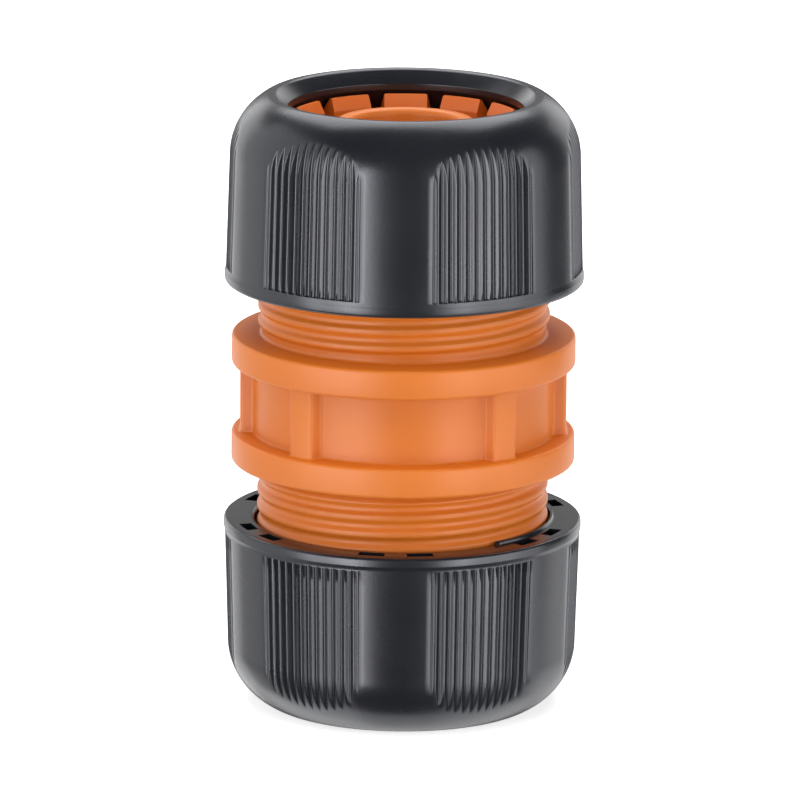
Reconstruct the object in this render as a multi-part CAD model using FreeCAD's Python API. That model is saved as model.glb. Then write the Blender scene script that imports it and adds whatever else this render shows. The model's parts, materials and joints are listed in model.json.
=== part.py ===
import FreeCAD, Part
import math
import os

# A hose mender joins two lengths of cut garden hose.
# One orange body carries a barbed tail and a threaded sleeve at each end.
# The hose is pushed over the tail, inside the sleeve and a clamping ring.
# A fluted nut then screws down the sleeve and closes the ring on the hose.
# Sizes are in millimetres and degrees. +Z runs along the water way.
# The mender stands on the end of its lower nut, with the origin at its middle.
# The front, with the plain field between two ribs, faces -Y.

# Water way and hose tail
WATERWAY_DIAMETER = 9.8
TAIL_WALL = 1.5
TAIL_REACH = 25.0
TAIL_TIP_BEVEL = 0.5
TAIL_LAND = 3.2
BARB_COUNT = 3
BARB_PITCH = 5.0
BARB_STEP = 0.5
BARB_UNDERCUT = 0.25
BARB_RISE = 0.3

# Clamping ring
HOSE_ROOM_DIAMETER = 19.2
RING_WALL = 1.3
RING_START = 0.5
FINGER_COUNT = 12
FINGER_GAP = 1.35
FINGER_LENGTH = 10.0
FINGER_HEAD_EDGE = 0.15
FUNNEL_WIDTH = 0.65
FUNNEL_DEPTH = 1.2
GRIP_COUNT = 2
GRIP_PITCH = 2.2
GRIP_HEIGHT = 0.35
GRIP_TOP = 12.6

# Body: sleeves, flanges and ribs
SLEEVE_WALL = 1.45
SLEEVE_LENGTH = 10.85
SLEEVE_MOUTH_BEVEL = 0.5
POCKET_FLOOR = 2.2
THREAD_DEPTH = 0.45
BAND_WALL = 0.75
FIELD_HEIGHT = 6.2
FLANGE_THICKNESS = 2.65
FLANGE_HEIGHT = 1.9
RIB_HEIGHT = 1.15
BODY_EDGE = 0.3
# Each rib's middle, measured from the front, and its width around the band
RIBS = ((38.5, 11.4), (90.0, 16.0), (141.5, 11.4))

# Nut
NUT_WALL = 2.75
NUT_LIP_PROUD = 0.1
NUT_LIP_HEIGHT = 1.1
NUT_LIP_EDGE = 0.3
NUT_DRAFT = 0.3
NUT_HEIGHT = 16.75
CROWN_RADIUS = 6.0
CROWN_SLOPE = 28.0
CROWN_STEPS = 4
CREST_DIAMETER = 23.8
CREST_FLAT = 0.4
OPENING_DIAMETER = 20.9
OPENING_DROP = 1.2
OPENING_LIP = 0.55
NUT_THREAD_DEPTH = 11.0
NUT_BEVEL = 0.3

# Grip flutes of the nut
FLUTE_GROUPS = 6
FLUTES_IN_GROUP = 11
FLUTE_STEP_ANGLE = 3.0
FLUTE_WIDTH = 0.6
FLUTE_DEPTH = 1.1
FLUTE_DRAFT = 0.4
FLUTE_START = 1.3

# Cored pockets in the rim of the nut, in pairs behind the smooth stretches
RIM_POCKET_INNER_WALL = 0.7
RIM_POCKET_OUTER_WALL = 0.95
RIM_POCKET_ANGLE = 9.2
RIM_POCKET_OFFSET = 8.5
RIM_POCKET_DEPTH = 6.0

# Clearances and how far each nut is screwed on
NUT_CLEARANCE = 0.1
RING_CLEARANCE = 0.3
CONE_CLEARANCE = 0.25
UPPER_NUT_GAP = 4.85
LOWER_NUT_GAP = 5.25
UPPER_NUT_TURN = -2.7
LOWER_NUT_TURN = -2.2

# Worked out from the sizes above
WATERWAY_R = WATERWAY_DIAMETER / 2
TAIL_R = WATERWAY_R + TAIL_WALL
TAIL_ROOT_R = TAIL_R - BARB_UNDERCUT
BARB_R = TAIL_ROOT_R + BARB_STEP
RING_BORE_R = HOSE_ROOM_DIAMETER / 2
RING_R = RING_BORE_R + RING_WALL
SLEEVE_BORE_R = RING_R + RING_CLEARANCE
THREAD_ROOT_R = SLEEVE_BORE_R + SLEEVE_WALL
THREAD_R = THREAD_ROOT_R + THREAD_DEPTH
BAND_R = THREAD_ROOT_R + BAND_WALL
RIB_R = BAND_R + RIB_HEIGHT
FLANGE_R = BAND_R + FLANGE_HEIGHT
NUT_BORE_R = THREAD_R + NUT_CLEARANCE
NUT_R = NUT_BORE_R + NUT_WALL
FLANGE_TOP = FIELD_HEIGHT / 2 + FLANGE_THICKNESS
SLEEVE_END = FLANGE_TOP + SLEEVE_LENGTH
CONE_TOP = NUT_HEIGHT - OPENING_DROP - OPENING_LIP
OPENING_R = OPENING_DIAMETER / 2
MIDDLE = FLANGE_TOP + LOWER_NUT_GAP + NUT_HEIGHT
AXIS = FreeCAD.Vector(0, 0, 1)
ORIGIN = FreeCAD.Vector(0, 0, 0)


def bevelled_corner(before, corner, after, bevel):
    """The two ends of the bevel that takes off one corner of an outline."""
    return [
        corner + (before - corner).normalize() * bevel,
        corner + (after - corner).normalize() * bevel,
    ]


def outline(corners):
    """Closed wire in the X-Z plane through (radius, height, bevel) corners."""
    points = [FreeCAD.Vector(r, 0, z) for r, z, bevel in corners]
    line = []
    for i, (r, z, bevel) in enumerate(corners):
        if bevel:
            line += bevelled_corner(points[i - 1], points[i], points[(i + 1) % len(points)], bevel)
        else:
            line.append(points[i])
    return Part.makePolygon(line + line[:1])


def turned(corners, angle=360.0):
    """Solid made by turning an outline about the Z axis."""
    return Part.Face(outline(corners)).revolve(ORIGIN, AXIS, angle)


def around(shape, angle):
    """Copy of a shape, turned about the Z axis."""
    copy = shape.copy()
    copy.rotate(ORIGIN, AXIS, angle)
    return copy


def from_front(angle):
    """Angle about Z, counted from +X, of a place measured from the front towards +X."""
    return angle - 90.0


def barbs():
    """Outline of the hose tail's saw-tooth rings, from the last one up to the tip."""
    corners = []
    first = TAIL_REACH - TAIL_LAND - BARB_COUNT * BARB_PITCH
    for i in range(BARB_COUNT):
        foot = first + i * BARB_PITCH
        corners.append((TAIL_ROOT_R, foot, 0))
        corners.append((BARB_R, foot + BARB_RISE, 0))
    corners.append((TAIL_ROOT_R, TAIL_REACH - TAIL_LAND, 0))
    corners.append((TAIL_R, TAIL_REACH - TAIL_LAND + BARB_RISE, 0))
    return corners


def body_half():
    """Outline of one half of the body, from the band, over the sleeve, to the water way."""
    half_field = FIELD_HEIGHT / 2
    return [
        (BAND_R, half_field, 0),
        (FLANGE_R, half_field, BODY_EDGE),
        (FLANGE_R, FLANGE_TOP, BODY_EDGE),
        (THREAD_ROOT_R, FLANGE_TOP, 0),
        (THREAD_ROOT_R, SLEEVE_END, 0),
        (SLEEVE_BORE_R + SLEEVE_MOUTH_BEVEL, SLEEVE_END, 0),
        (SLEEVE_BORE_R, SLEEVE_END - SLEEVE_MOUTH_BEVEL, 0),
        (SLEEVE_BORE_R, POCKET_FLOOR, 0),
        (TAIL_ROOT_R, POCKET_FLOOR, 0),
        *barbs(),
        (TAIL_R, TAIL_REACH, TAIL_TIP_BEVEL),
        (WATERWAY_R, TAIL_REACH, TAIL_TIP_BEVEL),
    ]


def rib(middle, width):
    """Upright bar across the band between the two flanges, with rounded long edges, sunk into the band."""
    inside = BAND_R - BAND_WALL
    reach = FIELD_HEIGHT / 2 + BODY_EDGE
    bar = turned(
        [(inside, -reach, 0), (RIB_R, -reach, 0), (RIB_R, reach, 0), (inside, reach, 0)],
        width,
    )
    long_edges = [
        edge
        for edge in bar.Edges
        if len(edge.Vertexes) == 2
        and all(abs(math.hypot(v.X, v.Y) - RIB_R) < 0.001 for v in edge.Vertexes)
        and abs(edge.Vertexes[0].Z - edge.Vertexes[1].Z) > reach
    ]
    bar = bar.makeFillet(BODY_EDGE, long_edges)
    return around(bar, from_front(middle) - width / 2)


def mender_body():
    """Moulded body: ribbed band, two flanges, two sleeves and two hose tails."""
    half = body_half()
    mirrored = [(r, -z, bevel) for r, z, bevel in reversed(half)]
    body = turned(half + mirrored)
    ribs = []
    for middle, width in RIBS:
        ribs.append(rib(middle, width))
        ribs.append(rib(-middle, width))
    body = body.fuse(ribs).removeSplitter()
    body.translate(AXIS * MIDDLE)
    return body


def ring_cone(height):
    """Radius of the clamping ring's head at a height, a clearance inside the nut's cone."""
    lean = (NUT_BORE_R - OPENING_R) / (CONE_TOP - NUT_THREAD_DEPTH)
    inset = CONE_CLEARANCE * math.hypot(1.0, lean)
    return NUT_BORE_R - inset - lean * (height - NUT_THREAD_DEPTH)


def grips():
    """Outline of the saw-tooth ridges that bite the hose, from the top one down."""
    corners = []
    for i in range(GRIP_COUNT):
        top = GRIP_TOP - i * GRIP_PITCH
        corners.append((RING_BORE_R, top, 0))
        corners.append((RING_BORE_R - GRIP_HEIGHT, top - GRIP_HEIGHT, 0))
        corners.append((RING_BORE_R, top - 2 * GRIP_HEIGHT, 0))
    return corners


def finger_gap(tip):
    """Cutter for the slot that parts two fingers of the clamping ring."""
    slot = Part.makeBox(NUT_BORE_R, FINGER_GAP, FINGER_LENGTH + 1.0)
    slot.translate(FreeCAD.Vector(0, -FINGER_GAP / 2, tip - FINGER_LENGTH))
    return slot


def clamping_ring():
    """Ring with sprung fingers, in the nut's frame with the nut's rim at zero."""
    tip = CONE_TOP - RING_CLEARANCE
    underside = NUT_THREAD_DEPTH - FINGER_HEAD_EDGE
    head_r = ring_cone(NUT_THREAD_DEPTH)
    tip_r = ring_cone(tip)
    ring = turned(
        [
            (RING_BORE_R, RING_START, 0),
            (RING_R, RING_START, 0),
            (RING_R, underside, 0),
            (head_r, underside, 0),
            (head_r, NUT_THREAD_DEPTH, 0),
            (tip_r, tip, 0),
            (min(RING_BORE_R + FUNNEL_WIDTH, tip_r - 0.05), tip, 0),
            (RING_BORE_R, tip - FUNNEL_DEPTH, 0),
            *grips(),
        ]
    )
    step = 360.0 / FINGER_COUNT
    gaps = [around(finger_gap(tip), (i + 0.5) * step) for i in range(FINGER_COUNT)]
    return ring.cut(gaps)


def crown():
    """Points of the nut's crown: an arc in short steps, from upright to the slope of the crest."""
    turn = math.radians(90.0 - CROWN_SLOPE)
    centre_r = NUT_R - NUT_LIP_PROUD - NUT_DRAFT - CROWN_RADIUS
    end_r = centre_r + CROWN_RADIUS * math.cos(turn)
    end = NUT_HEIGHT - (end_r - CREST_DIAMETER / 2 - CREST_FLAT / 2) * math.tan(math.pi / 2 - turn)
    centre = end - CROWN_RADIUS * math.sin(turn)
    angles = [turn * i / CROWN_STEPS for i in range(CROWN_STEPS + 1)]
    return [
        (centre_r + CROWN_RADIUS * math.cos(a), centre + CROWN_RADIUS * math.sin(a), 0)
        for a in angles
    ]


def nut_outline():
    """Outline of the nut in its own frame: rim at zero, crown and hose opening above."""
    wall_r = NUT_R - NUT_LIP_PROUD
    return [
        (NUT_BORE_R + NUT_BEVEL, 0, 0),
        (NUT_R, 0, NUT_LIP_EDGE),
        (NUT_R, NUT_LIP_HEIGHT, 0),
        (wall_r, NUT_LIP_HEIGHT, 0),
        *crown(),
        (CREST_DIAMETER / 2 + CREST_FLAT / 2, NUT_HEIGHT, 0),
        (CREST_DIAMETER / 2 - CREST_FLAT / 2, NUT_HEIGHT, 0),
        (OPENING_R, NUT_HEIGHT - OPENING_DROP, 0),
        (OPENING_R, CONE_TOP, 0),
        (NUT_BORE_R, NUT_THREAD_DEPTH, 0),
        (NUT_BORE_R, NUT_BEVEL, 0),
    ]


def flute(angle):
    """Cutter for one V groove. The bottoms of a group lie on one flat plane that leans inwards."""
    bottom = (NUT_R - FLUTE_DEPTH) / math.cos(math.radians(angle))
    spread = FLUTE_WIDTH / 2 / (NUT_R - bottom)
    outside = NUT_R + 1.0 + FLUTE_DRAFT
    half = spread * (outside - bottom)
    section = [
        FreeCAD.Vector(bottom, 0, FLUTE_START),
        FreeCAD.Vector(outside, -half, FLUTE_START),
        FreeCAD.Vector(outside, half, FLUTE_START),
    ]
    face = Part.Face(Part.makePolygon(section + section[:1]))
    rise = NUT_HEIGHT - FLUTE_START + 1.0
    return around(face.extrude(FreeCAD.Vector(-FLUTE_DRAFT, 0, rise)), angle)


def flute_cutters():
    """All grooves of the nut, in groups of eleven with smooth stretches between."""
    reach = (FLUTES_IN_GROUP - 1) / 2
    group = [flute((i - reach) * FLUTE_STEP_ANGLE) for i in range(FLUTES_IN_GROUP)]
    step = 360.0 / FLUTE_GROUPS
    return [around(cutter, k * step) for k in range(FLUTE_GROUPS) for cutter in group]


def rim_pocket():
    """Cutter for one cored pocket in the rim, with its middle on +X."""
    inner = NUT_BORE_R + RIM_POCKET_INNER_WALL
    outer = NUT_R - RIM_POCKET_OUTER_WALL
    sector = turned(
        [(inner, -1, 0), (outer, -1, 0), (outer, RIM_POCKET_DEPTH, 0), (inner, RIM_POCKET_DEPTH, 0)],
        RIM_POCKET_ANGLE,
    )
    return around(sector, -RIM_POCKET_ANGLE / 2)


def rim_pocket_cutters():
    """A pair of pockets behind each smooth stretch of the nut."""
    step = 360.0 / FLUTE_GROUPS
    pocket = rim_pocket()
    cutters = []
    for k in range(FLUTE_GROUPS):
        middle = (k + 0.5) * step
        cutters.append(around(pocket, middle - RIM_POCKET_OFFSET))
        cutters.append(around(pocket, middle + RIM_POCKET_OFFSET))
    return cutters


def nut():
    """Fluted clamping nut in its own frame."""
    return turned(nut_outline()).cut(flute_cutters() + rim_pocket_cutters())


def on_upper_end(shape, turn):
    """Place a piece from the nut's frame on the upper end."""
    placed = around(shape, turn)
    placed.translate(AXIS * (MIDDLE + FLANGE_TOP + UPPER_NUT_GAP))
    return placed


def on_lower_end(shape, turn):
    """Place a piece from the nut's frame on the lower end, upside down."""
    placed = shape.copy()
    placed.rotate(ORIGIN, FreeCAD.Vector(1, 0, 0), 180)
    placed.rotate(ORIGIN, AXIS, turn)
    placed.translate(AXIS * (MIDDLE - FLANGE_TOP - LOWER_NUT_GAP))
    return placed


def main():
    one_nut = nut()
    one_ring = clamping_ring()
    nodes = {
        "mender_body": mender_body(),
        "upper_clamping_ring": on_upper_end(one_ring, 0),
        "lower_clamping_ring": on_lower_end(one_ring, 0),
        "upper_nut": on_upper_end(one_nut, UPPER_NUT_TURN),
        "lower_nut": on_lower_end(one_nut, LOWER_NUT_TURN),
    }
    os.makedirs("parts", exist_ok=True)
    for name, shape in nodes.items():
        shape.Solids[0].exportStep("parts/" + name + ".step")
        box = shape.BoundBox
        print(
            name,
            "solids", len(shape.Solids),
            "valid", shape.isValid(),
            "volume", round(shape.Volume, 1),
            "height", round(box.ZMin, 3), round(box.ZMax, 3),
        )


main()
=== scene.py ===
# %% [markdown]
# # Hose mender
# A hose mender joins two cut ends of garden hose. Its orange body has a barbed tail and a
# threaded sleeve at each end, and a fluted nut on each sleeve closes a fingered ring on the hose.
# The pieces are already built, at their real size and place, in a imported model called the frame.
# This lesson gives them their looks: true threads, soft moulded edges and satin plastic.

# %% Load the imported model
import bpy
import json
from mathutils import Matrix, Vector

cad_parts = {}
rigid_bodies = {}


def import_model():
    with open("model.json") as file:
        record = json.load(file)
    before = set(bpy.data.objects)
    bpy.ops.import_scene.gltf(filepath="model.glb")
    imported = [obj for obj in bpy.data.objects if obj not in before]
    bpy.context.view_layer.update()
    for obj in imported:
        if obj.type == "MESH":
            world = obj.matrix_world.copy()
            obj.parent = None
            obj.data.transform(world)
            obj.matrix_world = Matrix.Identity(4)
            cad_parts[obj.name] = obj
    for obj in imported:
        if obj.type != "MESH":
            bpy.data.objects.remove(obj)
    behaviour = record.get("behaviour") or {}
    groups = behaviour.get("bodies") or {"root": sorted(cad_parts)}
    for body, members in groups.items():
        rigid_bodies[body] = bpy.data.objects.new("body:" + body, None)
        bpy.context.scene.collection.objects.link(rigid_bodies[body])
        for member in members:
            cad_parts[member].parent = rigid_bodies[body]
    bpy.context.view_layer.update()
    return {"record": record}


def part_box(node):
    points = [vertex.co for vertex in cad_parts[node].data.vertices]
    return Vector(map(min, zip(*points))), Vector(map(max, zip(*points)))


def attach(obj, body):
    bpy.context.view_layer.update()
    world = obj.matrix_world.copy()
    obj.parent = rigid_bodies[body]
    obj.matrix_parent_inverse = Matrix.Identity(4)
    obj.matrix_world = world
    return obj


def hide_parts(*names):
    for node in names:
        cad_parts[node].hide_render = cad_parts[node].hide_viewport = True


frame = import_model()

import json
import math

import bmesh
import bpy
import numpy as np
from mathutils import Matrix, Vector

# %% [markdown]
# ## Sizes
# Sizes are written in millimetres, as on a drawing, and become metres when a mesh is made.
# What the frame already knows is read from it, so the new surfaces land where the solids are.
# The same numbers typed in here would look alike today and be wrong once the solids change.

# %% Sizes that the frame gives
MM = 0.001
mounts = {mount["name"]: mount for mount in frame["record"]["mounts"]}
couplings = frame["record"]["behaviour"]["couplings"]


def box_mm(node):
    """Lowest and highest corner of a node, in millimetres."""
    low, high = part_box(node)
    return np.array(low) / MM, np.array(high) / MM


MIDDLE = mounts["waterway"]["pos_m"][2] / MM
WATERWAY_R = mounts["waterway"]["dims"]["r_mm"]
TAIL_R = mounts["upper_hose_tail"]["dims"]["r_mm"]
LEAD = 2 * math.pi / couplings[0]["ratio"] / MM
FLANGE_R = float(box_mm("mender_body")[1][0])
TAIL_REACH = float(box_mm("mender_body")[1][2]) - MIDDLE
NUT_R = float(box_mm("upper_nut")[1][0])
UPPER_RIM = float(box_mm("upper_nut")[0][2])
LOWER_RIM = float(box_mm("lower_nut")[1][2])
NUT_HEIGHT = LOWER_RIM - float(box_mm("lower_nut")[0][2])
print("lead", round(LEAD, 3), "flange radius", round(FLANGE_R, 2))
print("nut radius", round(NUT_R, 2), "nut height", round(NUT_HEIGHT, 2))

# %% Sizes of the body's moulding
TAIL_ROOT_R = TAIL_R - 0.25
BARB_R = TAIL_ROOT_R + 0.5
BARB_FEET = (6.8, 11.8, 16.8)
LAND_FOOT = 21.8
BARB_RISE = 0.3
SLEEVE_BORE_R = 11.2
THREAD_ROOT_R = 12.65
THREAD_DEPTH = 0.33
BAND_R = 13.4
RIB_HEIGHT = 1.15
RIB_FOOT_ROUND = 0.42
RIBS = ((38.5, 11.4), (90.0, 16.0), (141.5, 11.4))
HALF_FIELD = 3.1
FIELD_EDGE_ROUND = 0.22
FLANGE_TOP = 5.75
SLEEVE_END = 16.6
POCKET_FLOOR = 2.2
BODY_EDGE = 0.3
BAND_JOIN = 0.26
FLANGE_JOIN = 0.38

# %% [markdown]
# ## Profiles with soft corners
# Every piece is a turned or moulded shape, so each starts as a profile: a line of corners, given
# as radius and height. A mould has no truly sharp corner, and light shows each edge as a thin
# line only where it is rounded. Bevel modifiers could round the finished mesh, but on threads and
# flutes they make slivers, so the corners are rounded in the profile itself.

# %% Rounded profile
SAME_RADIUS = 1e-6


def rounded_line(corners, points=5):
    """Line through (radius, height, rounding) corners, each rounded by an arc of that radius.

    The arc starts and ends at rounding / tan(half the corner's angle) from the corner, and its
    points are centre + (sin((1 - t) sweep) first + sin(t sweep) last) / sin(sweep), t from 0 to 1.
    """
    line = [np.array([corners[0][:2]], float)]
    for before, corner, after in zip(corners, corners[1:], corners[2:]):
        here = np.array(corner[:2], float)
        if not corner[2]:
            line.append(here[None])
            continue
        back = np.array(before[:2]) - here
        ahead = np.array(after[:2]) - here
        back = back / np.linalg.norm(back)
        ahead = ahead / np.linalg.norm(ahead)
        half = math.acos(np.clip(back @ ahead, -1, 1)) / 2
        middle = (back + ahead) / np.linalg.norm(back + ahead)
        centre = here + middle * corner[2] / math.sin(half)
        cut = corner[2] / math.tan(half)
        first = here + back * cut - centre
        last = here + ahead * cut - centre
        sweep = math.pi - 2 * half
        t = np.linspace(0, 1, points)[:, None]
        line.append(centre + (np.sin((1 - t) * sweep) * first + np.sin(t * sweep) * last) / math.sin(sweep))
    line.append(np.array([corners[-1][:2]], float))
    return np.vstack(line)


def with_rows(line, radius, low, high, spacing):
    """Adds evenly spaced points to the upright stretch of a line at that radius."""
    count = int(round((high - low) / spacing)) + 1
    rows = np.column_stack([np.full(count, radius), np.linspace(low, high, count)])
    start = np.flatnonzero((abs(line[:, 0] - radius) < SAME_RADIUS) & (line[:, 1] <= low))[-1]
    return np.vstack([line[: start + 1], rows, line[start + 1 :]])


print("corner of 90 degrees:", rounded_line([(0, 0, 0), (1, 0, 0.3), (1, 1, 0)], 3).round(2).tolist())


# %% [markdown]
# ## Grids that close on themselves
# A grid of rows (along the profile) and columns (around the axis) makes a surface. numpy works out
# all its points at once, which is fast and keeps the formula in one place. Fine flutes need many
# columns and plain stretches need few, so two rows of unlike spacing are joined by many-sided
# faces. Angles run from the front towards +X, and the front faces -Y.


# %% Points and faces
def around(angle, radius, height):
    """Points at x = r sin(angle), y = -r cos(angle), z = height, angle in degrees from the front."""
    turn = np.radians(angle)
    return np.stack(np.broadcast_arrays(radius * np.sin(turn), -radius * np.cos(turn), height), axis=-1)


def strip_faces(rows, columns, start):
    """Quads between neighbouring rows of a grid. Each row closes on itself."""
    i, j = np.meshgrid(np.arange(rows - 1), np.arange(columns), indexing="ij")
    here = start + i * columns
    ahead = here + columns
    beside = (j + 1) % columns
    quads = np.stack([here + j, here + beside, ahead + beside, ahead + j], axis=-1)
    return quads.reshape(-1, 4).tolist()


def graded_ring(fine, coarse, keep):
    """Faces between a fine and a coarse row. keep gives the fine column beside each coarse one."""
    faces = []
    count = len(fine)
    for j in range(len(coarse)):
        after = (j + 1) % len(coarse)
        span = (keep[after] - keep[j]) % count
        row = [fine[(keep[j] + k) % count] for k in range(span + 1)]
        faces.append(row + [coarse[after], coarse[j]])
    return faces


def nearest(angles, fine_angles):
    """Index of the fine column nearest to each angle, on a circle."""
    gap = (np.asarray(fine_angles)[None] - np.asarray(angles)[:, None] + 180) % 360 - 180
    return abs(gap).argmin(axis=1)


print("a point at the front:", around(0, 1, 0).tolist())
print("first face of a grid:", strip_faces(2, 4, 0)[0])

# %% Mesh maker
# Both are in metres: points this close become one, and faces thinner than this are dissolved.
MERGE_WITHIN = 1e-7
SLIVER_UNDER = 1e-8


def make_piece(name, points, faces, replaced, sharp, marks=None):
    """Closed mesh from points in millimetres, riding on the body of the node that it replaces.

    Edges that bend by more than sharp degrees stay sharp. The volume is a sixth of the sum of
    a . (b x c) over all triangles. If it comes out negative, the faces point inwards and are
    turned round.
    """
    mesh = bpy.data.meshes.new(name)
    mesh.from_pydata((np.asarray(points) * MM).tolist(), [], faces)
    for mark, values in (marks or {}).items():
        layer = mesh.attributes.new(mark, "FLOAT", "POINT")
        layer.data.foreach_set("value", np.asarray(values, np.float32))
    work = bmesh.new()
    work.from_mesh(mesh)
    bmesh.ops.remove_doubles(work, verts=work.verts, dist=MERGE_WITHIN)
    bmesh.ops.dissolve_degenerate(work, edges=work.edges, dist=SLIVER_UNDER)
    open_edges = sum(not edge.is_manifold for edge in work.edges)
    volume = work.calc_volume(signed=True)
    if volume < 0:
        bmesh.ops.reverse_faces(work, faces=work.faces)
    work.to_mesh(mesh)
    work.free()
    mesh.shade_smooth()
    mesh.set_sharp_from_angle(angle=math.radians(sharp))
    piece = bpy.data.objects.new(name, mesh)
    bpy.context.scene.collection.objects.link(piece)
    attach(piece, replaced)
    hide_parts(replaced)
    triangles = sum(len(face.vertices) - 2 for face in mesh.polygons)
    print(name, "triangles", triangles, "mm3", round(abs(volume) / MM**3, 1), "open edges", open_edges)
    return piece


# %% [markdown]
# ## Thread
# Both sleeves carry the same right-hand moulded thread, and the nuts' inside threads run in its
# grooves. On the real mould the crests are broad and rounded, with a narrow root between them.
# A helix could be swept as a curve, but its ends and its seam with the sleeve are hard to close.
# Here the thread is a height added to the sleeve: it depends only on how far a place is from the
# crest that climbs past it, so the sleeve stays one closed surface.

# %% Thread height
UPPER_CREST = 1.19
LOWER_CREST = 0.90
CREST_HALF = 0.13
FLANK = 0.52
NUT_CREST_HALF = 0.07
NUT_FLANK = 0.42
NUT_THREAD_HEIGHT = 0.4
THREAD_ROW_SPACING = 0.1


def smooth(value, low, high):
    """0 up to low, 1 from high, and 3 t t - 2 t t t between, where t runs from 0 to 1."""
    t = np.clip((value - low) / (high - low), 0, 1)
    return t * t * (3 - 2 * t)


def thread_height(angle, height, crest, crest_half, flank):
    """1 on the crest and 0 in the root. The crest's height is crest + LEAD * angle / 360."""
    turns = (height - crest - LEAD * angle / 360) / LEAD
    away = abs(turns - np.round(turns)) * LEAD
    return smooth(-away, -crest_half - flank, -crest_half)


print("thread crests at the front:", [round(UPPER_CREST + k * LEAD, 2) for k in range(4, 7)])

# %% [markdown]
# ## Body
# The body is one moulding. Its band carries six upright ribs between two flanges, and the field
# between the front ribs is plain. The band needs closely spaced columns at the ribs' sides, and
# the rest only enough for a round outline, so the body is two grids: the band, and everything
# from one flange over its sleeve, tail and water way to the other flange.


# %% Ribs around the band
def rib_columns(spacing=2.2):
    """Angles of the band's columns and the rib height at each.

    Each side of a rib is a rounded step, worked out flat as (distance, height), and its distance
    becomes an angle on the rib's outer radius. Between the steps the columns are even.
    """
    side = [(-0.8, 0, 0), (-0.1, 0, RIB_FOOT_ROUND), (0.22, RIB_HEIGHT, BODY_EDGE), (0.8, RIB_HEIGHT, 0)]
    step = rounded_line(side, 7)
    distance = np.degrees(step[:, 0] / (BAND_R + RIB_HEIGHT))
    angles, heights = [], []
    for middle, width in RIBS + tuple((360 - middle, width) for middle, width in reversed(RIBS)):
        low = middle - width / 2 + distance
        high = middle + width / 2 - distance[::-1]
        top = np.linspace(low[-1], high[0], int((high[0] - low[-1]) / spacing) + 2)[1:-1]
        angles += [low, top, high]
        heights += [step[:, 1], np.full(len(top), RIB_HEIGHT), step[::-1, 1]]
    angles, heights = np.concatenate(angles), np.concatenate(heights)
    ends = np.append(angles, angles[0] + 360)
    for k in np.flatnonzero(np.diff(ends) > spacing * 2)[::-1]:
        between = np.linspace(ends[k], ends[k + 1], int((ends[k + 1] - ends[k]) / spacing) + 2)[1:-1]
        plain = np.full(len(between), min(heights[k], heights[(k + 1) % len(heights)]))
        angles = np.insert(angles, k + 1, between)
        heights = np.insert(heights, k + 1, plain)
    return angles, heights


print("columns round the band:", len(rib_columns()[0]))


# %% Half of the body's profile
def half_profile():
    """Rows from the flange's face at the band, over the sleeve and the tail, to the water way."""
    barbs = []
    for foot in BARB_FEET:
        barbs += [(TAIL_ROOT_R, foot, 0.1), (BARB_R, foot + BARB_RISE, 0.08)]
    line = rounded_line(
        [
            (FLANGE_R - FLANGE_JOIN, HALF_FIELD, 0),
            (FLANGE_R, HALF_FIELD, BODY_EDGE),
            (FLANGE_R, FLANGE_TOP, BODY_EDGE),
            (THREAD_ROOT_R, FLANGE_TOP, 0.3),
            (THREAD_ROOT_R, SLEEVE_END, 0.2),
            (SLEEVE_BORE_R + 0.5, SLEEVE_END, 0.15),
            (SLEEVE_BORE_R, SLEEVE_END - 0.5, 0.15),
            (SLEEVE_BORE_R, POCKET_FLOOR, 0.4),
            (TAIL_ROOT_R, POCKET_FLOOR, 0.4),
            *barbs,
            (TAIL_ROOT_R, LAND_FOOT, 0.1),
            (TAIL_R, LAND_FOOT + BARB_RISE, 0.08),
            (TAIL_R, TAIL_REACH, 0.6),
            (WATERWAY_R, TAIL_REACH, 0.6),
            (WATERWAY_R, 0.5, 0),
        ]
    )
    low, high = FLANGE_TOP + 0.4, SLEEVE_END - 0.3
    return with_rows(line, THREAD_ROOT_R, low, high, THREAD_ROW_SPACING)


def on_sleeve(radius, height):
    """How much thread a row carries: it fades in above the flange and out before the sleeve's end."""
    outside = abs(radius - THREAD_ROOT_R) < SAME_RADIUS
    up = abs(height)
    fade_in = smooth(up, FLANGE_TOP + 0.45, FLANGE_TOP + 1.2)
    fade_out = smooth(-up, -SLEEVE_END + 0.3, -SLEEVE_END + 1.2)
    return outside * fade_in * fade_out


print("rows of half the body:", len(half_profile()))


# %% Body mesh
def body_mesh(columns=200):
    """The band's grid and the long grid from flange to flange, joined in the flanges' faces."""
    band_angle, rib_height = rib_columns()
    band_line = rounded_line(
        [(BAND_R, 0, 0), (BAND_R, HALF_FIELD, FIELD_EDGE_ROUND), (BAND_R + BAND_JOIN, HALF_FIELD, 0)]
    )
    band_line = np.vstack([band_line[::-1] * (1, -1), band_line[1:]])
    band = around(band_angle[None], band_line[:, :1] + rib_height[None], band_line[:, 1:])
    half = half_profile()
    line = np.vstack([half, half[::-1] * (1, -1)])
    angle = np.arange(columns) * 360 / columns
    radius, height = line[:, :1], line[:, 1:]
    crest = np.where(height > 0, UPPER_CREST, LOWER_CREST)
    thread = THREAD_DEPTH * thread_height(angle[None], height, crest, CREST_HALF, FLANK)
    shell = around(angle[None], radius + thread * on_sleeve(radius, height), height)
    points = np.vstack([band.reshape(-1, 3), shell.reshape(-1, 3)]) + (0, 0, MIDDLE)
    wide = len(band_angle)
    start = band.shape[0] * wide
    faces = strip_faces(band.shape[0], wide, 0) + strip_faces(shell.shape[0], columns, start)
    keep = nearest(angle, band_angle)
    first = list(range(start, start + columns))
    last = list(range(start + (shell.shape[0] - 1) * columns, start + shell.shape[0] * columns))
    faces += graded_ring(list(range(start - wide, start)), first, keep)
    faces += [face[::-1] for face in graded_ring(list(range(wide)), last, keep)]
    return points, faces


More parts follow.
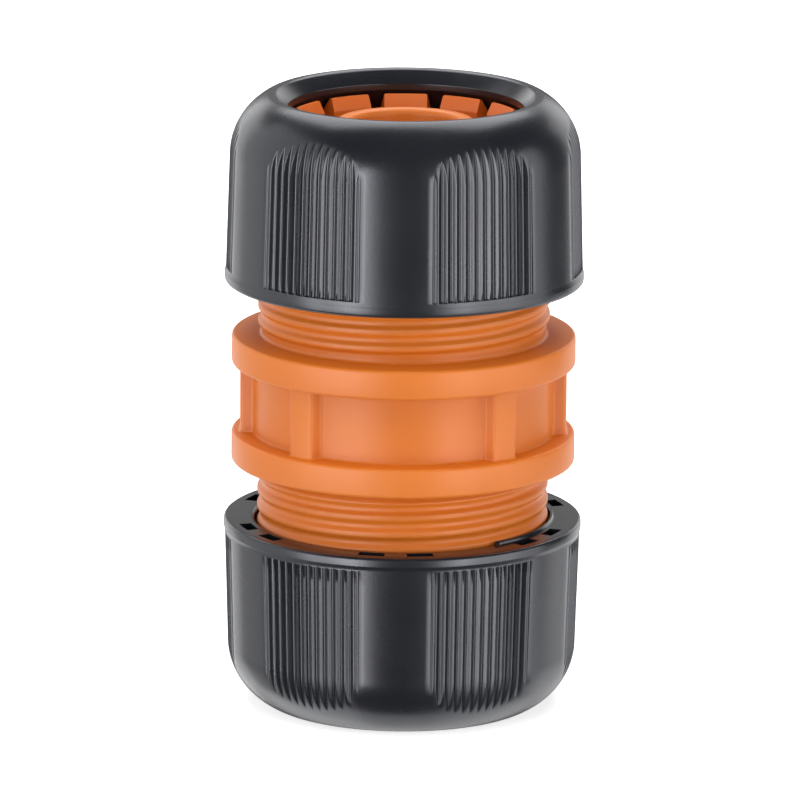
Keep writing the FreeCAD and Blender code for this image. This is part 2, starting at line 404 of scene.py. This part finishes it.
points, faces = body_mesh()
moulded_body = make_piece("moulded_body", points, faces, "mender_body", sharp=45)

# %% [markdown]
# ## Nuts
# Each nut has six groups of eleven V grooves with a narrower one at either end. A group ends on
# one flat plane that leans inwards, so the grooves run out of the crown as pointed arches, highest
# in the middle. The flanks lean about 48 degrees: that is how they catch the lamps at the sides and
# show as bright bands between dark lines, while steeper flanks would only mirror each other.
# Cutting 78 grooves with booleans would leave long thin triangles. Instead the columns follow the
# grooves: twelve for each one, which move together as it narrows.

# %% Sizes of the nut's moulding
GROUPS = 6
FLUTES = 11
FLUTE_STEP = 3.0
END_FLUTE_AT = 17.75
END_FLUTE_PLANE_AT = 19.0
FLUTE_BOTTOM_R = NUT_R - 1.1
FLUTE_LEAN = 0.4 / 16.45
FLUTE_START = 1.3
FLUTE_DEPTH = 0.36
FLUTE_SLOPE = 1.1
FLUTE_FADE = 0.9
ROOT_HALF = 0.05
ROOT_ROUND = 0.02
RIDGE_BLEND = 0.05
RIDGE_EDGE = 0.04
WALL_R = NUT_R - 0.1
LIP_HEIGHT = 1.1
CROWN_R = 6.0
CROWN_FOOT = 11.31
CROWN_CENTRE_R = 9.55
CROWN_TURN = 62.0
CREST_TURN = 122.0
CREST_END_TURN = 134.0
CREST_R = 11.9
CREST_ROUND = 0.75
OPENING_R = 10.45
OPENING_DROP = 1.2
OPENING_LIP = 0.55
NUT_BORE_R = 13.2
CONE_FOOT = 11.0
POCKET_INNER_R = 13.9
POCKET_OUTER_R = 15.0
POCKET_DEPTH = 6.0
POCKET_START = 16.9
POCKET_WIDTH = 9.2
POCKET_STEP = 17.0
POCKET_COLUMNS = 7
UPPER_GROUP_AT = 27.3
LOWER_GROUP_AT = 27.8


# %% Outer wall of the nut
def wall_radius(height):
    """Radius of the nut's wall before the grooves: an upright lip, a leaning wall, then an arc."""
    lean = (WALL_R - CROWN_CENTRE_R - CROWN_R) / (CROWN_FOOT - LIP_HEIGHT)
    straight = WALL_R - lean * (height - LIP_HEIGHT)
    rise = np.clip((height - CROWN_FOOT) / CROWN_R, 0, 1)
    arc = CROWN_CENTRE_R + CROWN_R * np.sqrt(1 - rise * rise)
    return np.where(height < CROWN_FOOT, straight, arc)


def wall_rows():
    """Rows of the outer wall: (radius, height, groove share), from the rim's edge up to the crest."""
    lip = [(NUT_R - 0.6, 0, 0), (NUT_R, 0, 0.3), (NUT_R, 0.8, 0.2), (WALL_R, LIP_HEIGHT, 0)]
    foot = rounded_line(lip)
    foot = np.column_stack([foot[1:], np.zeros(len(foot) - 1)])
    wall = np.array([LIP_HEIGHT + 0.1, FLUTE_START, FLUTE_START + 0.04, 2.6, 4.6, 6.6, 8.6, 10.2])
    arc = CROWN_FOOT + CROWN_R * np.sin(np.radians(np.linspace(0, CROWN_TURN, 29)))
    height = np.concatenate([wall, arc])
    share = (height > FLUTE_START + 0.01).astype(float)
    crest = np.column_stack([crest_arc(CROWN_TURN, CREST_TURN, 10), np.zeros(10)])
    return np.vstack([foot, np.column_stack([wall_radius(height), height, share]), crest])


def crest_arc(low, high, count):
    """Points of the round crest: centre + CREST_ROUND (cos turn, sin turn)."""
    turn = np.radians(np.linspace(low, high, count))
    centre = np.array([CREST_R, NUT_HEIGHT - CREST_ROUND])
    return centre + CREST_ROUND * np.column_stack([np.cos(turn), np.sin(turn)])


def smooth_zone():
    """Angles of the rim between two groups, with columns on the rim pockets' edges."""
    pocket = POCKET_START + np.linspace(0, POCKET_WIDTH, POCKET_COLUMNS)
    between = np.linspace(pocket[-1], pocket[0] + POCKET_STEP, 6)[1:-1]
    return np.concatenate([pocket, between, pocket + POCKET_STEP])


print("rows of the nut's wall:", len(wall_rows()))


# %% Grooved wall
def grooved_wall(rows):
    """Angle and radius of the outer wall's points.

    A group's grooves end on one plane. With reach = (radius - plane) / (straight wall - plane), a
    groove is FLUTE_DEPTH reach^FLUTE_FADE deep, so it fades out on the crown where the plane comes
    out. Its half width is ROOT_HALF + depth / slope. Across it, the surface is the smaller of the
    wall and the V, bottom + slope (|t| - ROOT_HALF), blended over a few hundredths of a millimetre.
    """
    inner = (np.arange(FLUTES) - FLUTES // 2) * FLUTE_STEP
    middle = np.concatenate([[-END_FLUTE_AT], inner, [END_FLUTE_AT]])
    plane_at = np.concatenate([[END_FLUTE_PLANE_AT], inner, [END_FLUTE_PLANE_AT]])
    edge = np.radians(plane_at)[None, :, None]
    radius, height, share = rows[:, 0, None, None], rows[:, 1, None, None], rows[:, 2, None, None]
    lean = (WALL_R - CROWN_CENTRE_R - CROWN_R) / (CROWN_FOOT - LIP_HEIGHT)
    line = WALL_R - lean * (height - LIP_HEIGHT)
    plane = FLUTE_BOTTOM_R / np.cos(edge) - FLUTE_LEAN * (height - FLUTE_START)
    room = np.clip(line - plane, 1e-6, None)
    depth = np.minimum(FLUTE_DEPTH, room) * np.clip((radius - plane) / room, 0, 1) ** FLUTE_FADE
    bottom = radius - depth
    half = ROOT_HALF + depth / FLUTE_SLOPE
    ridge = half + RIDGE_EDGE
    flank = ROOT_HALF + (half - ROOT_HALF) * np.array([0.85, 0.5, 0.12])
    root = np.full_like(half, 0.4 * ROOT_HALF)
    across = np.concatenate([-ridge, -half, -flank, -root, root, flank[..., ::-1], half, ridge], axis=2)
    wall = np.sqrt(radius**2 - across**2)
    out = np.clip(abs(across) - ROOT_HALF, 0, None)
    groove = bottom + FLUTE_SLOPE * (np.sqrt(out**2 + ROOT_ROUND**2) - ROOT_ROUND)
    near = np.clip(RIDGE_BLEND - abs(wall - groove), 0, None) / RIDGE_BLEND
    cut = np.minimum(wall, groove) - near * near * RIDGE_BLEND / 4
    cut = np.where((share > 0) & (depth > 0), cut, wall)
    angle = middle[None, :, None] + np.degrees(np.arctan2(across, cut))
    reach = np.hypot(across, cut)
    group_angle = angle.reshape(len(rows), -1)
    group_r = reach.reshape(len(rows), -1)
    plain_angle = np.concatenate([[20.2, 21.6], np.linspace(23.2, 36.8, 9), [38.4, 39.8]])
    plain = np.broadcast_to(plain_angle, (len(rows), len(plain_angle)))
    sector_angle = np.concatenate([group_angle, plain], axis=1)
    sector_r = np.concatenate([group_r, np.broadcast_to(rows[:, :1], plain.shape)], axis=1)
    all_angle = np.concatenate([sector_angle + k * 360 / GROUPS for k in range(GROUPS)], axis=1)
    return all_angle, np.tile(sector_r, GROUPS)


print("columns of the grooved wall:", grooved_wall(wall_rows())[0].shape[1])

# %% Inside of the nut
BORE_FOOT = 0.34
BORE_TOP = 9.0
THREAD_START = 9.0
THREAD_START_FULL = 60.0
THREAD_START_LENGTH = 125.0
THREAD_START_HEIGHT = 0.28


def inner_angles():
    """Columns of the nut's inside: groove and ridge middles, and the plain stretches."""
    flutes = np.arange(1 - FLUTES, FLUTES) * FLUTE_STEP / 2
    sector = np.concatenate([flutes, smooth_zone()])
    return np.concatenate([sector + k * 360 / GROUPS for k in range(GROUPS)])


def crest_rows():
    """End of the crest, funnel and narrow upright lip of the hose opening, down to the cone's foot."""
    crest = crest_arc(CREST_TURN + 4, CREST_END_TURN, 3)
    mouth = NUT_HEIGHT - OPENING_DROP
    lip = rounded_line(
        [
            tuple(crest[-1]) + (0,),
            (OPENING_R, mouth, 0.14),
            (OPENING_R, mouth - OPENING_LIP, 0.12),
            (NUT_BORE_R, CONE_FOOT, 0.4),
            (NUT_BORE_R, CONE_FOOT - 1.5, 0),
        ]
    )
    return np.vstack([crest, lip[1:]])


def rim_rows(angle):
    """Radius and height of the bevel inside the rim, with the start of the thread raised on it.

    The plain bevel and the raised start are two lines of as many points, given as (width, height),
    and mixed by a value that steps up at the start's blunt end and fades over a third of a turn.
    """
    up = -THREAD_START_HEIGHT
    bevel = np.array([(0, 0.32), (0.07, 0.2), (0.14, 0.1), (0.23, 0.03), (0.32, 0), (0.42, 0)])
    start = np.array([(0, 0.32), (0, up + 0.08), (0.07, up), (0.22, up), (0.3, up + 0.08), (0.35, 0)])
    bevel, start = bevel + (NUT_BORE_R, 0), start + (NUT_BORE_R, 0)
    along = (angle - THREAD_START) % 360
    raised = smooth(along, 0.2, 1.2) * smooth(-along, -THREAD_START_LENGTH, -THREAD_START_FULL)
    mixed = bevel[:, None] + (start - bevel)[:, None] * raised[None, :, None]
    return mixed[..., 0], mixed[..., 1]


print("columns of the nut's inside:", len(inner_angles()))


# %% Pockets in the rim
def pocket_faces(corner, deep):
    """Walls and floor of one pocket, from the indices of its mouth and floor, two rows of each."""
    mouth = np.concatenate([corner[0], corner[1][::-1]])
    floor = np.concatenate([deep[0], deep[1][::-1]])
    walls = np.stack([mouth, np.roll(mouth, -1), np.roll(floor, -1), floor], axis=1)
    bottom = np.stack([deep[0][:-1], deep[0][1:], deep[1][1:], deep[1][:-1]], axis=1)
    return walls.tolist() + bottom.tolist()


# %% Nut mesh
def nut_mesh(group_at, rim, way, crest):
    """Whole nut. Heights count from its rim; way is 1 for the upper nut and -1 for the lower.

    Returns points, faces and the points' marks: polish is 1 on the rim's flat face, else 0.
    """
    rows = wall_rows()
    fine_angle, fine_r = grooved_wall(rows)
    outer = (fine_angle, fine_r, np.broadcast_to(rows[:, 1:2], fine_r.shape))
    angle = inner_angles()
    top = crest_rows()
    bore_height = np.arange(BORE_TOP, BORE_FOOT + 0.01, -THREAD_ROW_SPACING)
    bore_height = np.append(bore_height, BORE_FOOT)
    place = rim + way * bore_height[:, None] - MIDDLE
    thread = thread_height(group_at + angle[None], place, crest + LEAD / 2, NUT_CREST_HALF, NUT_FLANK)
    fade = smooth(bore_height, BORE_FOOT, 0.9) * smooth(-bore_height, -BORE_TOP, -8.2)
    bore_r = NUT_BORE_R - NUT_THREAD_HEIGHT * thread * fade[:, None]
    bevel_r, bevel_z = rim_rows((angle + group_at - LOWER_GROUP_AT) % 360)
    face_r = np.array([POCKET_INNER_R, POCKET_OUTER_R])[:, None]
    level = np.zeros(len(angle))
    inner_r = np.vstack([top[:, :1] + level, bore_r, bevel_r, face_r + level])
    inner_z = np.vstack([top[:, 1:] + level, bore_height[:, None] + level, bevel_z, level, level])
    inner = (np.broadcast_to(angle, inner_r.shape), inner_r, inner_z)

    wide, narrow = fine_r.shape[1], len(angle)
    tall, deep = len(rows), len(inner_r)
    start = tall * wide
    faces = strip_faces(tall, wide, 0)
    quads = np.array(strip_faces(deep, narrow, start)).reshape(deep - 1, narrow, 4)
    sector = narrow // GROUPS
    zone = np.arange(GROUPS)[:, None] * sector + 2 * FLUTES - 1
    second = len(smooth_zone()) - POCKET_COLUMNS
    first_column = np.concatenate([zone, zone + second], axis=1).ravel()
    open_columns = (first_column[:, None] + np.arange(POCKET_COLUMNS - 1)).ravel()
    closed = np.ones((deep - 1, narrow), bool)
    closed[-1, open_columns] = False
    faces += quads[closed].tolist()

    fine_row, coarse_row = np.arange(wide), np.arange(narrow)
    keep = nearest(angle, fine_angle[-1])
    rim_row = start + (deep - 1) * narrow
    faces += graded_ring((fine_row + (tall - 1) * wide).tolist(), (coarse_row + start).tolist(), keep)
    rim_ring = graded_ring(fine_row.tolist(), (coarse_row + rim_row).tolist(), keep)
    faces += [face[::-1] for face in rim_ring]

    points = [around(group_at + a, r, rim + way * z).reshape(-1, 3) for a, r, z in (outer, inner)]
    count = sum(map(len, points))
    for column in first_column:
        columns = column + np.arange(POCKET_COLUMNS)
        mouth = np.stack([rim_row - narrow + columns, rim_row + columns])
        floor = around(group_at + angle[columns][None], face_r, rim + way * POCKET_DEPTH)
        points.append(floor.reshape(-1, 3))
        faces += pocket_faces(mouth, count + np.arange(2 * POCKET_COLUMNS).reshape(2, POCKET_COLUMNS))
        count += 2 * POCKET_COLUMNS
    points = np.vstack(points)
    from_rim = (points[:, 2] - rim) * way
    polish = (from_rim < 0.02) & (np.hypot(points[:, 0], points[:, 1]) < NUT_R - 0.2)
    return points, faces, {"polish": polish}


points, faces, marks = nut_mesh(UPPER_GROUP_AT, UPPER_RIM, 1, UPPER_CREST)
upper_nut = make_piece("upper_fluted_nut", points, faces, "upper_nut", 55, marks)
points, faces, marks = nut_mesh(LOWER_GROUP_AT, LOWER_RIM, -1, LOWER_CREST)
lower_nut = make_piece("lower_fluted_nut", points, faces, "lower_nut", 55, marks)

# %% [markdown]
# ## Clamping rings
# Under each nut sits a ring with twelve sprung fingers. The nut's cone presses the fingers' heads
# inwards, and the ridges inside them bite the hose. The ring is one profile carried round the
# axis: full circle up to the foot of the slots, and only across each finger above it. The slots
# have parallel sides, so the finger's edge lies at the angle whose sine is half the gap / radius.

# %% Sizes of the ring
FINGERS = 12
HALF_GAP = 0.6
SLOT_FOOT = 4.7
RING_BORE_R = 9.6
RING_R = 10.9
RING_START = 0.5
HEAD_FOOT = 10.85
FINGER_TIP = 14.7
CONE_CLEARANCE = 0.25
FUNNEL_WIDTH = 0.55
FUNNEL_DEPTH = 1.1
GRIP_TOPS = (12.6, 10.4)
GRIP_HEIGHT = 0.35
TIP_CORNER = 0.3


# %% Ring mesh
def ring_mesh(rim, way):
    """One closed ring. Heights count from the nut's rim, as the nut's do."""
    slope = (NUT_BORE_R - OPENING_R) / (NUT_HEIGHT - OPENING_DROP - OPENING_LIP - CONE_FOOT)
    head_r = NUT_BORE_R - CONE_CLEARANCE * math.hypot(1, slope)
    tip_r = head_r - slope * (FINGER_TIP - CONE_FOOT)
    grip = []
    for top in GRIP_TOPS:
        grip += [
            (RING_BORE_R, top, 0.05),
            (RING_BORE_R - GRIP_HEIGHT, top - GRIP_HEIGHT, 0.06),
            (RING_BORE_R, top - 2 * GRIP_HEIGHT, 0.05),
        ]
    finger = rounded_line(
        [
            (RING_R, SLOT_FOOT, 0),
            (RING_R, HEAD_FOOT, 0.1),
            (head_r, HEAD_FOOT, 0.05),
            (head_r, CONE_FOOT, 0.05),
            (tip_r, FINGER_TIP, 0.08),
            (RING_BORE_R + FUNNEL_WIDTH, FINGER_TIP, 0.08),
            (RING_BORE_R, FINGER_TIP - FUNNEL_DEPTH, 0.4),
            *grip,
            (RING_BORE_R, SLOT_FOOT, 0),
        ],
        4,
    )
    outer_rows = [(RING_R, 6.5), (RING_R, 8.5)]
    finger = np.vstack([finger[:1], outer_rows, finger[1:-1], [(RING_BORE_R, 7.0)], finger[-1:]])
    skirt = rounded_line(
        [
            (RING_BORE_R, SLOT_FOOT, 0),
            (RING_BORE_R, RING_START, 0.25),
            (RING_R, RING_START, 0.25),
            (RING_R, SLOT_FOOT, 0),
        ]
    )
    across = np.concatenate([[-1, -0.97, -0.9], np.linspace(-0.7, 0.7, 6), [0.9, 0.97, 1]])
    slot = np.array([-0.5, 0, 0.5])

    def edge(line):
        """Half the slot's angle at each row, wider near the tip where the finger's corners are round."""
        down = np.clip((line[:, 1] - FINGER_TIP + TIP_CORNER) / TIP_CORNER, 0, 0.999)
        gap = HALF_GAP + TIP_CORNER * (1 - np.sqrt(1 - down * down))
        return np.degrees(np.arcsin(gap / line[:, 0]))[:, None]

    step = 360 / FINGERS
    finger_angle = (step / 2 - edge(finger)) * across[None]
    under_finger = (step / 2 - edge(skirt)) * across[None]
    under_slot = step / 2 + edge(skirt) * slot[None]
    skirt_angle = np.concatenate([under_finger, under_slot], axis=1)
    across_count, slot_count = len(across), len(slot)
    sector = across_count + slot_count
    sectors = np.arange(FINGERS)[:, None] * step
    skirt_all = (skirt_angle[:, None] + sectors[None]).reshape(len(skirt), -1)
    skirt_points = around(skirt_all, skirt[:, :1], rim + way * skirt[:, 1:])
    finger_all = finger_angle[None] + sectors[:, :, None]
    finger_points = around(finger_all, finger[None, :, :1], rim + way * finger[None, :, 1:])
    points = np.vstack([skirt_points.reshape(-1, 3), finger_points.reshape(-1, 3)])
    wide = sector * FINGERS
    faces = strip_faces(len(skirt), wide, 0)
    inner_row, outer_row = 0, (len(skirt) - 1) * wide
    for k in range(FINGERS):
        start = len(skirt) * wide + k * len(finger) * across_count
        i, j = np.meshgrid(np.arange(len(finger) - 1), np.arange(across_count - 1), indexing="ij")
        here = start + i * across_count + j
        above = here + across_count
        faces += np.stack([here, here + 1, above + 1, above], axis=-1).reshape(-1, 4).tolist()
        edge_rows = start + np.arange(len(finger)) * across_count
        faces += [edge_rows.tolist(), (edge_rows[::-1] + across_count - 1).tolist()]
        column = k * sector + across_count - 1 + np.arange(slot_count + 1)
        beside = (column + 1) % wide
        slot_foot = [outer_row + column, outer_row + beside, inner_row + beside, inner_row + column]
        faces += np.stack(slot_foot, axis=1).tolist()
    return points, faces


points, faces = ring_mesh(UPPER_RIM, 1)
upper_ring = make_piece("upper_fingered_ring", points, faces, "upper_clamping_ring", 40)
points, faces = ring_mesh(LOWER_RIM, -1)
lower_ring = make_piece("lower_fingered_ring", points, faces, "lower_clamping_ring", 40)

# %% [markdown]
# ## Plastics
# Both plastics come from polished moulds with a fine spark-eroded grain. Close up, the grain
# breaks the highlights into a satin sheen, and the colour wanders a little where the melt flowed.
# The grain and the wander are the same effect in both colours, so they are one node group, placed
# in each material with its own sizes. The group gives a height for a Bump node and a soft mask.


# %% Grain group
def moulded_grain():
    """Node group: fine grain height and a broad soft mask, both from noise on Object coordinates."""
    group = bpy.data.node_groups.new("moulded_grain", "ShaderNodeTree")
    for name, value in (("Grain Scale", 5000.0), ("Flow Scale", 90.0)):
        socket = group.interface.new_socket(name, in_out="INPUT", socket_type="NodeSocketFloat")
        socket.default_value = value
    group.interface.new_socket("Grain", in_out="OUTPUT", socket_type="NodeSocketFloat")
    group.interface.new_socket("Flow", in_out="OUTPUT", socket_type="NodeSocketFloat")
    nodes, links = group.nodes, group.links
    given, out = nodes.new("NodeGroupInput"), nodes.new("NodeGroupOutput")
    place = nodes.new("ShaderNodeTexCoord")
    noises = (("Grain Scale", "Grain", 2.0, 0.6), ("Flow Scale", "Flow", 3.0, 0.5))
    for socket, label, detail, roughness in noises:
        noise = nodes.new("ShaderNodeTexNoise")
        noise.inputs["Detail"].default_value = detail
        noise.inputs["Roughness"].default_value = roughness
        links.new(place.outputs["Object"], noise.inputs["Vector"])
        links.new(given.outputs[socket], noise.inputs["Scale"])
        links.new(noise.outputs["Fac"], out.inputs[label])
    return group


grain_group = moulded_grain()
print("group", grain_group.name, "with", len(grain_group.nodes), "nodes")


# %% Plastic material
FLOW_LOW = 0.3
FLOW_HIGH = 0.7
ROUGHNESS_WANDER = 0.04
GRAIN_DEPTH = 0.02


def plastic(name, deep, light, roughness, grain_scale, bump, specular, tint=(1, 1, 1), polish=0.0):
    """Satin plastic: the flow mask mixes the colour from deep to light and wanders the roughness.

    Where the mesh is marked "polish", the roughness is polish instead.
    """
    material = bpy.data.materials.new(name)
    material.use_nodes = True
    nodes, links = material.node_tree.nodes, material.node_tree.links
    shader = nodes["Principled BSDF"]
    shader.inputs["IOR"].default_value = 1.5
    shader.inputs["Specular IOR Level"].default_value = specular
    shader.inputs["Specular Tint"].default_value = (*tint, 1)
    group = nodes.new("ShaderNodeGroup")
    group.node_tree = grain_group
    group.inputs["Grain Scale"].default_value = grain_scale
    colour = nodes.new("ShaderNodeMix")
    colour.data_type = "RGBA"
    colour.inputs["A"].default_value = (*deep, 1)
    colour.inputs["B"].default_value = (*light, 1)
    links.new(group.outputs["Flow"], colour.inputs["Factor"])
    links.new(colour.outputs["Result"], shader.inputs["Base Color"])
    rough = nodes.new("ShaderNodeMapRange")
    rough.inputs["From Min"].default_value = FLOW_LOW
    rough.inputs["From Max"].default_value = FLOW_HIGH
    rough.inputs["To Min"].default_value = roughness - ROUGHNESS_WANDER
    rough.inputs["To Max"].default_value = roughness + ROUGHNESS_WANDER
    links.new(group.outputs["Flow"], rough.inputs["Value"])
    finish = rough.outputs["Result"]
    if polish:
        mark = nodes.new("ShaderNodeAttribute")
        mark.attribute_name = "polish"
        mixed = nodes.new("ShaderNodeMix")
        mixed.inputs["B"].default_value = polish
        links.new(mark.outputs["Fac"], mixed.inputs["Factor"])
        links.new(finish, mixed.inputs["A"])
        finish = mixed.outputs["Result"]
    links.new(finish, shader.inputs["Roughness"])
    relief = nodes.new("ShaderNodeBump")
    relief.inputs["Strength"].default_value = bump
    relief.inputs["Distance"].default_value = GRAIN_DEPTH * MM
    links.new(group.outputs["Grain"], relief.inputs["Height"])
    links.new(relief.outputs["Normal"], shader.inputs["Normal"])
    print(name, "roughness", roughness)
    return material


body_orange = plastic(
    "orange_body_plastic",
    deep=(0.59, 0.140, 0.010),
    light=(0.64, 0.167, 0.013),
    roughness=0.42,
    grain_scale=6000.0,
    bump=0.25,
    specular=0.42,
)
# The rings are the body's own orange plastic. This copy is darker and redder as painted shade: it stands for
# the shadow and the orange light bouncing inside the nut's opening.
ring_orange_painted_shade = plastic(
    "orange_ring_plastic_painted_shade",
    deep=(0.60, 0.116, 0.010),
    light=(0.65, 0.138, 0.012),
    roughness=0.42,
    grain_scale=6000.0,
    bump=0.3,
    specular=0.42,
)
anthracite = plastic(
    "anthracite_nut_plastic",
    deep=(0.006, 0.007, 0.010),
    light=(0.009, 0.010, 0.013),
    roughness=0.28,
    grain_scale=5200.0,
    bump=0.3,
    specular=0.75,
    tint=(0.92, 0.93, 1.0),
    polish=0.2,
)
moulded_body.data.materials.append(body_orange)
# The rings take the orange copy with painted shade.
for ring in (upper_ring, lower_ring):
    ring.data.materials.append(ring_orange_painted_shade)
for nut in (upper_nut, lower_nut):
    nut.data.materials.append(anthracite)

# %% [markdown]
# ## Floor, light and camera
# The mender stands on a white table with white all round. The floor shows the camera a little
# white of its own, so it stays bright without more light on the object, and keeps a soft shadow.
# Tall soft boxes on both sides light the orange and draw the upright highlights, and a wide fill
# from above lights without a reflection. The nuts are nearly black, so what shows on them is what
# they mirror: cards that appear in reflections alone stand where bright walls and the table would,
# and the dark stretch between them at the front gives the nuts their depth. A world that is bright
# to reflections would be simpler, but it greys that dark stretch and flattens the grooves.


# %% Floor
TABLE_GREY = 0.66
TABLE_ROUGHNESS = 0.9
TABLE_GLOW = 0.7


def floor_disc(radius=6.0, corners=64):
    """A flat disc at height zero with a pale material that the camera sees nearly white.

    Its corners lie at radius (cos turn, sin turn). Reflections don't show it and it blocks no
    light, so the cards under it still reach the nuts.
    """
    turn = np.arange(corners) * 2 * math.pi / corners
    rim = np.column_stack([radius * np.cos(turn), radius * np.sin(turn), np.zeros(corners)])
    mesh = bpy.data.meshes.new("floor")
    mesh.from_pydata(rim.tolist(), [], [list(range(corners))])
    disc = bpy.data.objects.new("floor", mesh)
    bpy.context.scene.collection.objects.link(disc)
    material = bpy.data.materials.new("white_table")
    material.use_nodes = True
    nodes, links = material.node_tree.nodes, material.node_tree.links
    shader = nodes["Principled BSDF"]
    shader.inputs["Base Color"].default_value = (TABLE_GREY, TABLE_GREY, TABLE_GREY, 1)
    shader.inputs["Roughness"].default_value = TABLE_ROUGHNESS
    shader.inputs["Emission Color"].default_value = (1, 1, 1, 1)
    path = nodes.new("ShaderNodeLightPath")
    glow = nodes.new("ShaderNodeMath")
    glow.operation = "MULTIPLY"
    glow.inputs[1].default_value = TABLE_GLOW
    links.new(path.outputs["Is Camera Ray"], glow.inputs[0])
    links.new(glow.outputs["Value"], shader.inputs["Emission Strength"])
    mesh.materials.append(material)
    disc.visible_glossy = False
    disc.visible_shadow = False
    return disc


floor = floor_disc()
print("floor corners:", len(floor.data.vertices))


# %% Soft boxes
def soft_box(name, azimuth, elevation, distance, width, height, watts, only=""):
    """Area lamp at an azimuth and elevation round the mender's middle, facing it. 0 is the front.

    With only="gloss" it shows in reflections alone, as bright walls far away do, and with
    only="fill" it lights surfaces without a reflection of its own, as a very wide light does.
    """
    turn, up = math.radians(azimuth), math.radians(elevation)
    middle = Vector((0, 0, MIDDLE * MM))
    away = Vector((math.sin(turn) * math.cos(up), -math.cos(turn) * math.cos(up), math.sin(up)))
    lamp = bpy.data.lights.new(name, "AREA")
    lamp.shape = "RECTANGLE"
    lamp.size, lamp.size_y = width, height
    lamp.energy = watts
    holder = bpy.data.objects.new(name, lamp)
    holder.location = middle + away * distance
    holder.rotation_mode = "QUATERNION"
    holder.rotation_quaternion = away.to_track_quat("Z", "Y")
    holder.visible_camera = False
    holder.visible_diffuse = only != "gloss"
    holder.visible_glossy = only != "fill"
    bpy.context.scene.collection.objects.link(holder)
    return holder


# Each line is name, azimuth, elevation, distance, width, height, watts and what it does alone.
LAMPS = (
    ("left_strip", -36, 0, 1.0, 0.46, 0.85, 4.6),
    ("left_wall", -95, 12, 1.0, 1.30, 1.30, 5.2),
    ("right_strip", 56, 0, 1.0, 0.72, 0.85, 5.6),
    ("right_wall", 87, 0, 1.0, 0.50, 1.00, 2.6),
    ("back_box", 180, 56, 1.0, 1.00, 0.75, 8.5),
    ("top_fill", 0, 68, 1.0, 0.90, 0.90, 6.5, "fill"),
    ("left_card", -58, 0, 1.0, 0.28, 0.85, 3.2, "gloss"),
    ("left_core", -32, 0, 1.0, 0.34, 0.85, 2.9, "gloss"),
    ("right_card", 34, 0, 1.0, 0.30, 0.85, 3.2, "gloss"),
    ("low_right_card", 117, -27.5, 0.4, 0.16, 0.20, 0.13, "gloss"),
    ("low_left_card", -105, -50, 0.5, 0.50, 0.50, 0.60, "gloss"),
    ("low_far_right_card", 105, -50, 0.5, 0.50, 0.50, 0.30, "gloss"),
    ("left_back_card", -148, -5, 1.0, 0.60, 1.10, 3.0, "gloss"),
    ("right_back_card", 150, -5, 1.0, 0.60, 1.10, 2.6, "gloss"),
    ("table_card", 180, -70, 1.0, 1.60, 1.20, 7.0, "gloss"),
    ("rim_card", 180, 15, 1.0, 1.10, 0.28, 0.36, "gloss"),
)
for lamp in LAMPS:
    soft_box(*lamp)
print("lamps", len(LAMPS), "of which in reflections alone", sum(lamp[-1] == "gloss" for lamp in LAMPS))

# %% World
WHITE_TO_CAMERA = 1.0
FOR_REFLECTIONS = 0.06
MORE_FOR_SURFACES = 0.26
world = bpy.data.worlds.new("white_room")
bpy.context.scene.world = world
world.use_nodes = True
nodes, links = world.node_tree.nodes, world.node_tree.links
sky = nodes["Background"]
sky.inputs["Color"].default_value = (1, 1, 1, 1)
path = nodes.new("ShaderNodeLightPath")
soft = nodes.new("ShaderNodeMath")
soft.operation = "MULTIPLY_ADD"
soft.inputs[1].default_value = MORE_FOR_SURFACES
soft.inputs[2].default_value = FOR_REFLECTIONS
level = nodes.new("ShaderNodeMix")
level.inputs["B"].default_value = WHITE_TO_CAMERA
links.new(path.outputs["Is Diffuse Ray"], soft.inputs[0])
links.new(path.outputs["Is Camera Ray"], level.inputs["Factor"])
links.new(soft.outputs["Value"], level.inputs["A"])
links.new(level.outputs["Result"], sky.inputs["Strength"])
print("world for the camera", WHITE_TO_CAMERA, "and for reflections", FOR_REFLECTIONS)

# %% Camera
CAMERA_ELEVATION = math.radians(13.5015)
CAMERA_ROLL = math.radians(0.4857)
CAMERA_DISTANCE = 800.0
AIM = Vector((-0.290, 0.0, -0.461))
PICTURE_WIDTH = 800
FOCAL_PIXELS = 8980.4

back = Vector((0, -math.cos(CAMERA_ELEVATION), math.sin(CAMERA_ELEVATION)))
up = Vector((0, math.sin(CAMERA_ELEVATION), math.cos(CAMERA_ELEVATION)))
right = Vector((1, 0, 0))
turned_right = right * math.cos(CAMERA_ROLL) + up * math.sin(CAMERA_ROLL)
turned_up = up * math.cos(CAMERA_ROLL) - right * math.sin(CAMERA_ROLL)
camera_data = bpy.data.cameras.new("camera")
camera_data.sensor_width = 36.0
camera_data.lens = FOCAL_PIXELS / PICTURE_WIDTH * camera_data.sensor_width
camera = bpy.data.objects.new("camera", camera_data)
bpy.context.scene.collection.objects.link(camera)
place = (AIM + Vector((0, 0, MIDDLE)) + back * CAMERA_DISTANCE) * MM
facing = Matrix((turned_right, turned_up, back)).transposed().to_4x4()
camera.matrix_world = Matrix.Translation(place) @ facing
bpy.context.scene.camera = camera
bpy.context.scene.view_settings.view_transform = "Standard"
print("lens", round(camera_data.lens, 1), "mm, down by", round(math.degrees(CAMERA_ELEVATION), 1), "degrees")
